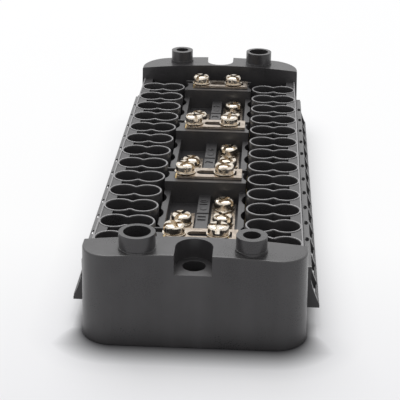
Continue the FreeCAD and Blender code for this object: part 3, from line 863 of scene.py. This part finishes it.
@dataclass
class ChimneyRail(PoleRow):
    """A rail of figure-eight chimneys on one floor, with an outer wall and a web along their rims.

    Each chimney's wall follows four arcs that run into each other: two lobes and two waists.
    """

    bottom: float = 15.5
    floor_thickness: float = 1.5
    rim: float = 28.2
    rim_rounding: float = 0.5
    lobe_radius: float = 6.2
    lobe_wall: float = 1.0
    inner_lobe: float = 23.2
    outer_lobe: float = 32.7
    waist_blend: float = 0.6
    inner_face: float = 18.0
    outer_face: float = 39.0
    outer_wall: float = 1.0
    web_top: float = 27.9
    web_thickness: float = 1.0
    web_inner: float = 34.5
    lip_width: float = 0.6
    half_length: float = 105.0
    lobe_steps: int = 40
    waist_steps: int = 8
    rim_steps: int = 5

    def build(self) -> None:
        """Make the two rails in place of the CAD's."""
        tree = self.tree()
        for side in Side:
            piece = tree.applied(f"figure_eight_rail_{side.word}", side=float(side.value))
            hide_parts(f"chimney_rail_{side.word}")
            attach(piece, "root")
            LOG.info("%s: %d faces", piece.name, len(piece.data.polygons))

    def outline(self, tree: Tree, column: Value, offset: Number) -> tuple[Value, Value]:
        """Where a column of a chimney's wall stands about the chimney's middle.

        Args:
            tree: The rail's tree.
            column: The column's number round the chimney.
            offset: How far out the point stands from the middle of the wall.

        Returns:
            X and Y.
        """
        size = tree.size
        lobe = size.lobe_radius - size.lobe_wall / 2.0
        waist = size.waist_blend + size.lobe_wall / 2.0
        spread = (size.outer_lobe - size.inner_lobe) / 2.0
        height = tree.maths("SQRT", (lobe + waist) * (lobe + waist) - spread * spread)
        tilt = tree.maths("ARCTAN2", height, spread)
        lobe_sweep = (math.pi - tilt) * 2.0
        waist_sweep = tilt * 2.0 - math.pi

        steps = [self.lobe_steps, self.waist_steps] * 2
        starts = [sum(steps[:number]) for number in range(len(steps))]
        arc = sum((column.above(start - 0.5) for start in starts[2:]),
                  column.above(starts[1] - 0.5))
        share = (column - tree.choose(arc, starts)) / tree.choose(arc, steps)
        angle = (tree.choose(arc, [tilt - math.pi, -tilt, tilt, math.pi - tilt])
                 + share * tree.choose(arc, [lobe_sweep, waist_sweep] * 2))
        radius = tree.choose(arc, [lobe + offset, waist - offset] * 2)
        across = tree.choose(arc, [spread, 0.0, -spread, 0.0])
        along = tree.choose(arc, [0.0, height, 0.0, -height])
        return (across + radius * tree.maths("COSINE", angle),
                along + radius * tree.maths("SINE", angle))

    def columns(self) -> int:
        """How many columns of points go round a chimney, with the first again at the end."""
        return 2 * (self.lobe_steps + self.waist_steps) + 1

    def tube(self, tree: Tree) -> Socket:
        """A chimney's wall, closed, with a rounded rim."""
        size = tree.size
        rounding, half = size.rim_rounding, size.lobe_wall / 2.0
        section = [(half, size.bottom)]
        for heading, quarter in ((1.0, 0), (-1.0, 1)):
            for step in range(self.rim_steps + 1):
                turn = math.pi / 2.0 * (quarter + step / self.rim_steps)
                section.append(((half - rounding) * heading + rounding * math.cos(turn),
                                size.rim - rounding + rounding * math.sin(turn)))
        section += [(-half, size.bottom), (half, size.bottom)]
        sheet, row, column = tree.sheet(len(section), self.columns())
        offset, up = (tree.choose(row, axis) for axis in zip(*section))
        across, along = self.outline(tree, column, offset)
        return tree.bend(sheet, across, along, up)

    def plug(self, tree: Tree) -> Socket:
        """A solid core out to the middle of a chimney's wall, to open the floor and web with."""
        low, high = tree.size.bottom / 2.0, tree.size.rim * RUN_THROUGH
        sheet, row, column = tree.sheet(4, self.columns())
        reach = tree.choose(row, [0.0, 1.0, 1.0, 0.0])
        across, along = self.outline(tree, column, 0.0)
        return tree.bend(sheet, across * reach, along * reach,
                         tree.choose(row, [low, low, high, high]))

    def tree(self) -> Tree:
        """Build the tree that makes a whole rail.

        Returns:
            The tree, with its side as an input.
        """
        tree = Tree("chimney_rail", self)
        size, side = tree.size, tree.input("side", float(Side.RIGHT.value))
        bottom, outer, web_top = size.bottom, size.outer_face, size.web_top
        along = (-size.half_length, size.half_length)
        bars = tree.fused(
            tree.beam(side, (size.inner_face, outer), along,
                      (bottom, bottom + size.floor_thickness)),
            tree.beam(side, (outer - size.outer_wall, outer), along, (bottom, web_top)),
            tree.beam(side, (size.web_inner, outer), along,
                      (web_top - size.web_thickness, web_top)),
            tree.beam(side, (outer - size.lip_width, outer), along, (bottom, size.rim)),
        )
        count, pitch = size.pole_count, size.pole_pitch
        first = (side * (size.inner_lobe + size.outer_lobe) / 2.0,
                 (1.0 - count) / 2.0 * pitch, 0.0)
        step = (0.0, pitch, 0.0)
        opened = tree.cut(bars, tree.row(self.plug(tree), count, first, step))
        tree.close(tree.fused(opened, tree.row(self.tube(tree), count, first, step)), RAIL)
        return tree


@dataclass
class SideBarrier(PoleRow):
    """Upright fins between the poles, tied by a strip on top and a bar along their tips.

    Each fin's outer edge drops upright from the strip, then flares out to its tip.
    """

    inner: float = 18.4
    base: float = 38.6
    base_height: float = 7.5
    strip_inner: float = 39.7
    outer: float = 42.0
    tip: float = 45.5
    top: float = 22.8
    under_rail: float = 15.5
    bottom: float = 6.3
    flare_top: float = 17.2
    flare_bottom: float = 7.3
    flare_curve: float = 1.25
    flare_steps: int = 8
    fin_thickness: float = 2.0
    strip_depth: float = 0.8
    bar_width: float = 0.9
    bar_height: float = 2.1
    bar_back: float = 0.2
    near_end: float = -99.8
    far_end: float = 99.8
    strip_end: float = 90.0
    last_top: float = 20.2
    hole_width: float = 1.6
    hole_length: float = 3.8
    hole_skin: float = 0.5
    hole_segments: int = 16
    relief_width: float = 1.92
    relief_length: float = 4.94
    hub: tuple[float, float] = (41.5, 10.0)

    def build(self) -> None:
        """Make the two barriers in place of the CAD's."""
        tree = self.tree()
        for side in Side:
            piece = tree.applied(f"flared_barrier_{side.word}", side=float(side.value))
            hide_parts(f"side_barrier_{side.word}")
            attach(piece, "root")
            LOG.info("%s: %d faces", piece.name, len(piece.data.polygons))

    def fin(self, tree: Tree, side: Value) -> Socket:
        """One fin about Y = 0.

        Args:
            tree: The barrier's tree.
            side: Minus one or one.

        Returns:
            Its closed mesh.
        """
        size = tree.size
        outline = [(size.inner, size.base_height), (size.base, size.base_height),
                   (size.base, size.bottom), (size.tip, size.bottom)]
        for step in range(self.flare_steps + 1):
            share = 1.0 - step / self.flare_steps
            flare = share ** self.flare_curve
            outline.append((size.outer + (size.tip - size.outer) * flare,
                            size.flare_top + (size.flare_bottom - size.flare_top) * share))
        outline += [(size.outer, size.top), (size.strip_inner, size.top),
                    (size.strip_inner, size.under_rail), (size.inner, size.under_rail),
                    (size.inner, size.base_height)]
        sheet, row, column = tree.sheet(len(outline), 4)
        reach = tree.choose(column, [0.0, 1.0, 1.0, 0.0])
        across, up = ((tree.choose(row, axis) - middle * MM) * reach + middle * MM
                      for axis, middle in zip(zip(*outline), self.hub))
        along = size.fin_thickness * tree.choose(column, [-0.5, -0.5, 0.5, 0.5])
        return self.handed(tree, tree.bend(sheet, across * side, along, up), side)

    def handed(self, tree: Tree, mesh: Any, side: Value) -> Socket:
        """Turn a mesh's faces outwards on the side where the mirror turned them in."""
        flipped = tree.add("GeometryNodeFlipFaces", None, {"Mesh": mesh})
        switch = tree.add("GeometryNodeSwitch", {"input_type": "GEOMETRY"})
        tree.fill(switch.inputs["Switch"], side.above(0.0))
        tree.fill(switch.inputs["False"], flipped)
        tree.fill(switch.inputs["True"], mesh)
        return switch.outputs[0]

    def holes(self, tree: Tree, side: Value) -> Socket:
        """Cutters for the oval holes at the pole centres, wider under the strip's skin."""
        size = tree.size
        radius = size.hole_width / 2.0
        low, high = size.top - size.strip_depth * RUN_THROUGH, size.top * RUN_OUT
        pin = tree.turned([(0.0, low), (radius, low), (radius, high), (0.0, high)],
                          self.hole_segments)
        stretch = tree.vector(1.0, size.hole_length / size.hole_width, 1.0)
        oval = tree.add("GeometryNodeTransform", None, {"Geometry": pin, "Scale": stretch})
        skin = size.top - size.hole_skin
        relief = tree.block((size.relief_width, size.relief_length, size.strip_depth),
                            (0.0, 0.0, skin - size.strip_depth / 2.0))
        first = (side * (size.strip_inner + size.outer) / 2.0,
                 (3.0 - size.pole_count) / 2.0 * size.pole_pitch, 0.0)
        return tree.row(tree.fused(oval, relief), size.pole_count - 2.0, first,
                        (0.0, size.pole_pitch, 0.0))

    def tree(self) -> Tree:
        """Build the tree that makes a whole barrier.

        Returns:
            The tree, with its side as an input.
        """
        tree = Tree("side_barrier", self)
        size, side = tree.size, tree.input("side", float(Side.RIGHT.value))
        near, far, top, bottom = size.near_end, size.far_end, size.top, size.bottom
        fins = tree.row(self.fin(tree, side), size.pole_count + 1.0,
                        (0.0, near + size.fin_thickness / 2.0, 0.0), (0.0, size.pole_pitch, 0.0))
        strip = tree.cut(tree.beam(side, (size.strip_inner, size.outer), (near, far),
                                   (top - size.strip_depth, top)), self.holes(tree, side))
        tip = size.tip - size.bar_back
        bar = tree.beam(side, (tip - size.bar_width, tip), (near, far),
                        (bottom, bottom + size.bar_height))
        corner = tree.beam(side, (size.inner, size.tip), (size.strip_end, far * RUN_OUT),
                           (size.last_top, top * RUN_OUT))
        tree.close(tree.cut(tree.fused(fins, strip, bar), corner), BARRIER)
        return tree


@dataclass
class RibMarks(PoleRow):
    """Pole numbers, short lines and round marks that stand up from the centre rib."""

    rib_top: float = 23.3
    rib_width: float = 4.8
    raised: float = 0.35
    sunk: float = 0.05
    digit_size: float = 4.8
    digit_spacing: float = 1.25
    line_place: float = 4.8
    line_width: float = 0.5
    pin_mark_place: float = 9.4
    pin_mark_radius: float = 1.4
    pin_mark_inside: float = 1.19
    pin_mark_floor: float = 1.12
    pin_mark_height: float = 0.24
    pin_mark_sill: float = 0.12
    pin_mark_segments: int = 32

    def build(self) -> None:
        """Make the numbers and marks as one piece on the carrier."""
        tree = Tree("rib_marks", self)
        size = tree.size
        height, base = size.raised + size.sunk, size.rib_top - size.sunk
        digits, marks = [], []
        for pole in range(self.pole_count):
            place, along = pole % self.link_every, self.pole(pole)
            if place:
                digits.append(self.number(tree, str(self.pole_count - pole), along))
            if place == self.link_every - 2:
                marks.append(tree.block((size.rib_width, size.line_width, height),
                                        (0.0, (along + self.line_place) * MM,
                                         base + height / 2.0)))
                marks.append(self.pin_mark(tree, base, along + self.pin_mark_place))
        curves = tree.add("GeometryNodeRealizeInstances", None,
                          {"Geometry": tree.joined(*digits)})
        faces = tree.add("GeometryNodeFillCurve", {"mode": "NGONS"}, {"Curve": curves})
        raised = tree.add("GeometryNodeExtrudeMesh", {"mode": "FACES"},
                          {"Mesh": faces, "Offset Scale": height, "Individual": False})
        under = tree.add("GeometryNodeFlipFaces", None, {"Mesh": faces})
        lifted = tree.moved(tree.welded(tree.joined(raised, under)), (0.0, 0.0, base))
        tree.close(tree.joined(lifted, *marks), PLASTIC)
        piece = tree.applied("rib_marks")
        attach(piece, "root")

    def pin_mark(self, tree: Tree, base: Value, along: float) -> Socket:
        """The round mark of an ejector pin.

        Args:
            tree: The tree that gets it.
            base: The height that it stands on.
            along: Its place, in millimetres.

        Returns:
            Its mesh.
        """
        size = tree.size
        profile = [(0.0, 0.0), (size.pin_mark_radius, 0.0),
                   (size.pin_mark_radius, size.pin_mark_height),
                   (size.pin_mark_inside, size.pin_mark_height),
                   (size.pin_mark_floor, size.pin_mark_sill), (0.0, size.pin_mark_sill)]
        return tree.moved(tree.turned(profile, self.pin_mark_segments), (0.0, along * MM, base))

    def number(self, tree: Tree, text: str, along: float) -> Socket:
        """A pole's number, turned to read along the block.

        Args:
            tree: The tree that gets it.
            text: The number.
            along: The pole's place, in millimetres.

        Returns:
            Its outline.
        """
        outline = tree.add("GeometryNodeStringToCurves",
                           {"align_x": "CENTER", "align_y": "MIDDLE"},
                           {"String": text, "Size": self.digit_size * MM,
                            "Character Spacing": self.digit_spacing})
        moved = tree.add("GeometryNodeTransform", None,
                         {"Geometry": outline, "Translation": (0.0, along * MM, 0.0),
                          "Rotation": (0.0, 0.0, math.pi / 2.0)})
        return moved.outputs[0]


@dataclass
class Mouldings:
    """The CAD nodes whose shape is shown as it is, each in its slot's finish."""

    finishes: dict[str, Finish] = field(default_factory=lambda: {
        "black_plastic": PLASTIC, "nickel_plate": PLATE, "nickel_screw": SCREW,
        "zinc_screw": ZINC, "brass_conductor": BRASS})

    def build(self, frame: dict[str, Any]) -> None:
        """Give every CAD node that is still shown its finish.
        """
        slots = {row["node"]: row["material_slot"] for row in frame["record"]["subparts"]}
        for name, node in frame["nodes"].items():
            material = self.finishes[slots[name]].material()
            if not node.material_slots:
                node.data.materials.append(material)
            for slot in node.material_slots:
                slot.material = material
        LOG.info("%d CAD nodes dressed", len(frame["nodes"]))


@dataclass
class Studio:
    """A pale floor, a soft lamp and the photograph's camera."""

    lens_mm: float = 106.87
    sensor_mm: float = 36.0
    eye_m: tuple[float, float, float] = (0.02097, -0.48729, 0.21458)
    pitch_deg: float = 23.2521
    yaw_deg: float = -2.9335
    roll_deg: float = 0.6912
    clip_m: tuple[float, float] = (0.01, 100.0)
    floor_m: float = 30.0
    floor_drop_m: float = 0.0002
    floor_tone: Colour = (0.74, 0.74, 0.76)
    far_glow: float = 0.86
    # The glow's painted shadow round the block and its painted shade towards the front.
    glow_reach_m: float = 0.021
    side_curve: float = 0.6
    front_curve: float = 1.15
    front_fade: float = 0.95
    fade_from_m: float = 0.03
    fade_length_m: float = 0.15
    fade_width_m: float = 0.2
    fade_aside: float = 0.5
    # A painted shadow that darkens the card's colour at the block's foot.
    contact_tone: Colour = (0.10, 0.10, 0.105)
    side_contact_m: float = 0.004
    front_contact_m: float = 0.013
    footing_m: tuple[float, float] = (0.0408, 0.1215)
    footing_corner_m: float = 0.012
    world_light: float = 0.55
    lamp_watts: float = 17.5
    lamp_m: float = 1.2
    lamp_place_m: tuple[float, float, float] = (-0.2, 0.6, 1.25)

    def build(self) -> None:
        """Make the camera, the world, the floor and the lamp."""
        bpy.context.scene.view_settings.view_transform = "Standard"
        self.make_camera()
        self.make_world()
        self.make_floor()
        self.make_lamp()

    def make_camera(self) -> None:
        """The camera that was fitted to the photograph's edges."""
        pitch, yaw, roll = (math.radians(a) for a in (self.pitch_deg, self.yaw_deg, self.roll_deg))
        forward = Vector((math.sin(yaw) * math.cos(pitch), math.cos(yaw) * math.cos(pitch),
                          -math.sin(pitch)))
        level = forward.cross(Vector((0, 0, 1))).normalized()
        upright = level.cross(forward)
        right = level * math.cos(roll) + upright * math.sin(roll)
        up = upright * math.cos(roll) - level * math.sin(roll)
        turn = Matrix((right, up, -forward)).transposed().to_4x4()
        data = bpy.data.cameras.new("photo_camera")
        data.lens, data.sensor_width, data.sensor_fit = self.lens_mm, self.sensor_mm, "HORIZONTAL"
        data.clip_start, data.clip_end = self.clip_m
        camera = bpy.data.objects.new("photo_camera", data)
        camera.matrix_world = Matrix.Translation(Vector(self.eye_m)) @ turn
        bpy.context.scene.collection.objects.link(camera)
        bpy.context.scene.camera = camera

    def make_world(self) -> None:
        """White to the eye and in reflections, and softer as a light."""
        world = bpy.data.worlds.new("studio")
        bpy.context.scene.world = world
        nodes = Nodes.of(world)
        strength = self.world_light + nodes.seen() * (1.0 - self.world_light)
        sky = nodes.add("ShaderNodeBackground", None,
                        {"Color": (1.0, 1.0, 1.0, 1.0), "Strength": strength})
        nodes.add("ShaderNodeOutputWorld", None, {"Surface": sky})

    def make_floor(self) -> None:
        """A wide pale floor just under the block."""
        half = self.floor_m / 2
        mesh = bpy.data.meshes.new("studio_floor")
        corners = [(-half, -half), (half, -half), (half, half), (-half, half)]
        mesh.from_pydata([(x, y, -self.floor_drop_m) for x, y in corners], [], [(0, 1, 2, 3)])
        floor = bpy.data.objects.new("studio_floor", mesh)
        bpy.context.scene.collection.objects.link(floor)
        mesh.materials.append(self.floor_material())

    def floor_material(self) -> bpy.types.Material:
        """A matt pale card that glows to the eye and in reflections, with painted shade: the glow
        fades out by the block and dims towards the front, and a painted shadow darkens its colour
        at the block's foot.

        Returns:
            The material.
        """
        made = bpy.data.materials.new("pale_card")
        nodes = Nodes.of(made)
        across, along, _ = nodes.axes(nodes.place())
        corner = self.footing_corner_m
        beyond = [nodes.maths("MAXIMUM", nodes.maths("ABSOLUTE", axis) - (half - corner), 0.0)
                  for axis, half in zip((across, along), self.footing_m)]
        distance = nodes.maths("SQRT", beyond[0] * beyond[0] + beyond[1] * beyond[1]) - corner
        distance = nodes.maths("MAXIMUM", distance, 0.0)
        before = ((-along - (self.footing_m[1] - corner)) / corner).clamped()
        # Painted shade in the glow towards the front, weaker to the sides.
        aside = (nodes.maths("ABSOLUTE", across) / self.fade_width_m).clamped()
        front = ((-along - self.fade_from_m) / self.fade_length_m).clamped()
        front = front * (1.0 - aside * self.fade_aside)
        curve = self.side_curve + before * (self.front_curve - self.side_curve)
        # Painted shadow in the glow: none at the block's foot, full beyond its reach.
        lit = (distance / self.glow_reach_m).clamped() ** curve
        lit = lit * self.far_glow * (1.0 - front * self.front_fade)
        # Painted shadow in the card's colour: dark at the block's foot, reaching further at the
        # front.
        painted_shadow_reach = self.side_contact_m + before * (self.front_contact_m - self.side_contact_m)
        tone = nodes.blend((distance / painted_shadow_reach).clamped(), self.contact_tone, self.floor_tone)
        card = nodes.add("ShaderNodeBsdfPrincipled", None,
                         {"Base Color": tone, "Roughness": 1.0, "Specular IOR Level": 0.0})
        glow = nodes.add("ShaderNodeEmission", None,
                         {"Color": (1.0, 1.0, 1.0, 1.0), "Strength": 1.0})
        mix = nodes.add("ShaderNodeMixShader", None, {0: nodes.seen() * lit, 1: card, 2: glow})
        nodes.add("ShaderNodeOutputMaterial", None, {"Surface": mix})
        return made

    def make_lamp(self) -> None:
        """Hang a square soft box that faces the block."""
        data = bpy.data.lights.new("key", "AREA")
        data.shape, data.size, data.energy = "SQUARE", self.lamp_m, self.lamp_watts
        lamp = bpy.data.objects.new("key", data)
        lamp.location = self.lamp_place_m
        lamp.rotation_mode = "QUATERNION"
        lamp.rotation_quaternion = (-Vector(self.lamp_place_m)).to_track_quat("-Z", "Y")
        bpy.context.scene.collection.objects.link(lamp)


def main() -> None:
    """Load the frame, dress each sub-assembly and set up the studio."""
    logging.basicConfig(level=logging.INFO, format="%(name)s: %(message)s")
    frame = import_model()
    Studio().build()
    Mouldings().build(frame)
    LinkScrews().build()
    ChimneyRail().build()
    SideBarrier().build()
    RibMarks().build()


if __name__ == "__main__":
    main()
